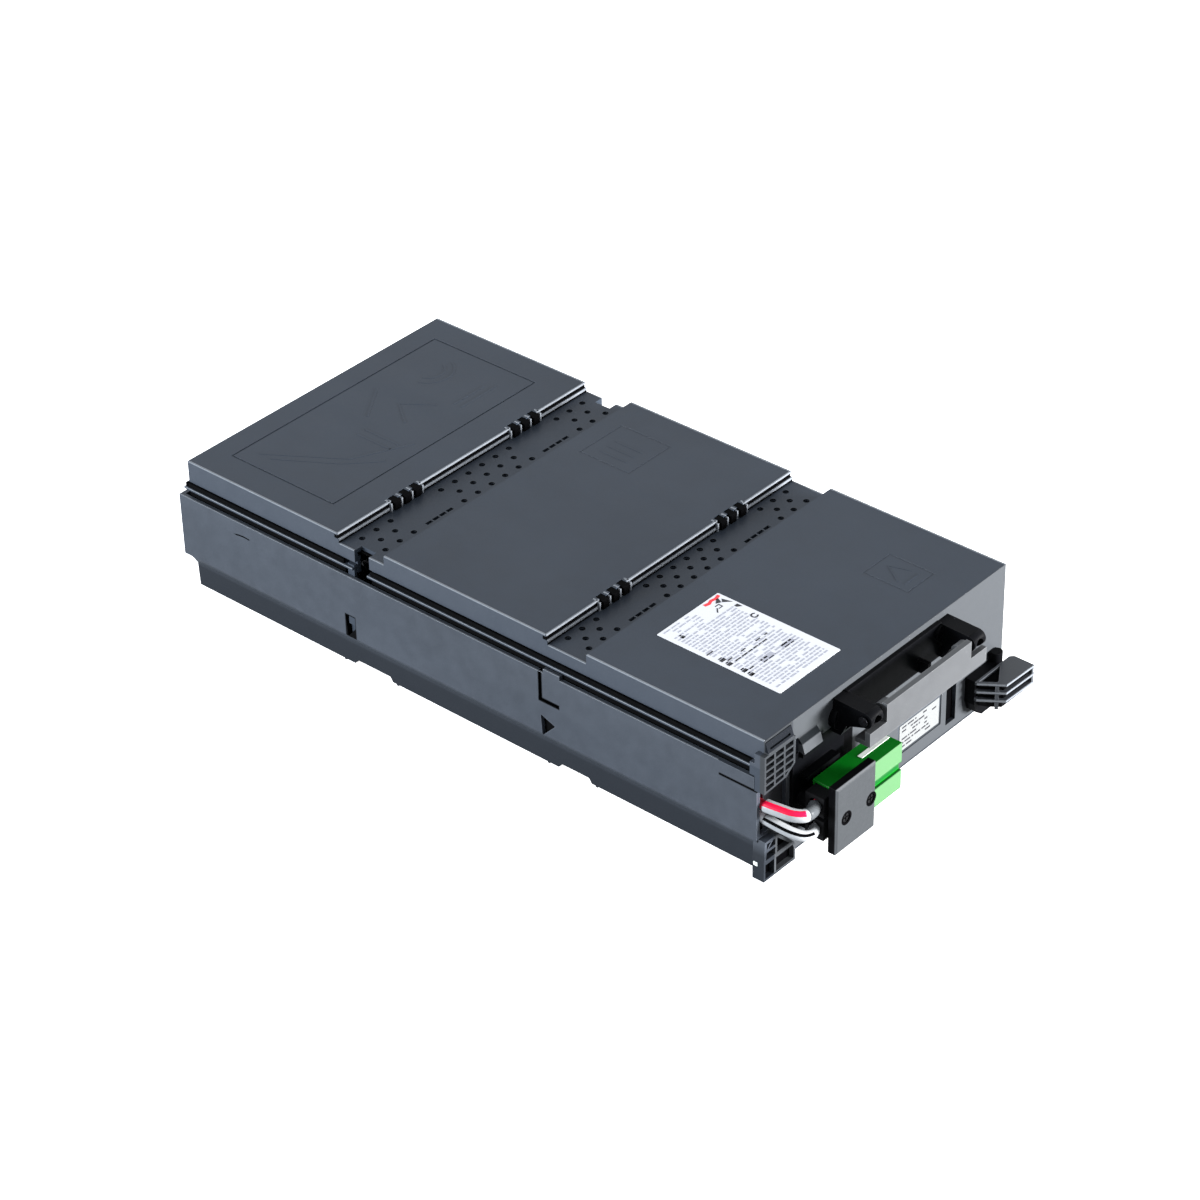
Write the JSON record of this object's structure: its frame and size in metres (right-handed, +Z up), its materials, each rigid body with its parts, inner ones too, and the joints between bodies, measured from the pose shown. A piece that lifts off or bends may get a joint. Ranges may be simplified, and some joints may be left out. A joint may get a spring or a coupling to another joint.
{
  "type": "server rack battery",
  "caption": "Slide-in battery cartridge for a rack power supply: plastic tray and ribbed cover over sealed battery blocks, front swinging grip, power plug on two leads.",
  "frame": {"origin": "middle of the underside, on the surface the cartridge slides on", "axes": "+X to the right seen from the front, +Y to the rear along the length, +Z up"},
  "size_m": [0.196, 0.4155, 0.0806],
  "materials": {
    "tray_plastic": "fine moulded texture",
    "cover_plastic": "fine moulded texture",
    "black_plastic": "smooth moulded",
    "grip_plastic": "smooth moulded",
    "plate_paint": "satin powder coat",
    "connector_plastic": "smooth moulded",
    "pin_steel": "satin",
    "dark_steel": "black zinc",
    "contact_copper": "silver plated",
    "block_plastic": "smooth moulded",
    "grommet_rubber": "matt",
    "valve_rubber": "matt",
    "cell_lead": "dull",
    "tab_brass": "tinned",
    "receptacle_steel": "tinned",
    "black_insulation": "smooth",
    "red_insulation": "smooth",
    "grey_insulation": "smooth",
    "white_sleeve": "smooth",
    "foam": "open cell",
    "label_paper": "matt print"
  },
  "bodies": {
    "case": {"tray": "tray_plastic", "top_cover": "cover_plastic", "handle_frame": "black_plastic", "hinge_pins": "pin_steel", "frame_screws": "dark_steel", "guide_ear": "tray_plastic", "ear_base": "black_plastic", "connector_housing": "connector_plastic", "lead_grommets": "grommet_rubber", "connector_contacts": "contact_copper", "connector_bracket": "black_plastic", "clamp_plate": "plate_paint", "clamp_screws": "dark_steel", "battery_1": "block_plastic", "battery_2": "block_plastic", "battery_3": "block_plastic", "battery_4": "block_plastic", "battery_5": "block_plastic", "battery_6": "block_plastic", "battery_lids": "block_plastic", "vent_covers": "block_plastic", "valve_caps": "valve_rubber", "cell_stacks": "cell_lead", "terminal_tabs": "tab_brass", "tab_receptacles": "receptacle_steel", "jumper_wires": "black_insulation", "positive_lead": "red_insulation", "negative_lead": "grey_insulation", "positive_sleeve": "white_sleeve", "negative_sleeve": "white_sleeve", "fuse_holder": "black_plastic", "fuse_link": "receptacle_steel", "foam_pads": "foam", "top_label": "label_paper", "front_label": "label_paper"},
    "grip": {"handle_grip": "grip_plastic"}
  },
  "joints": [
    {"name": "grip_swing", "type": "hinge", "parent": "case", "child": "grip", "pos_m": [0.0015, -0.211, 0.072], "axis": [-1, 0, 0], "range_deg": [0, 90]}
  ]
}
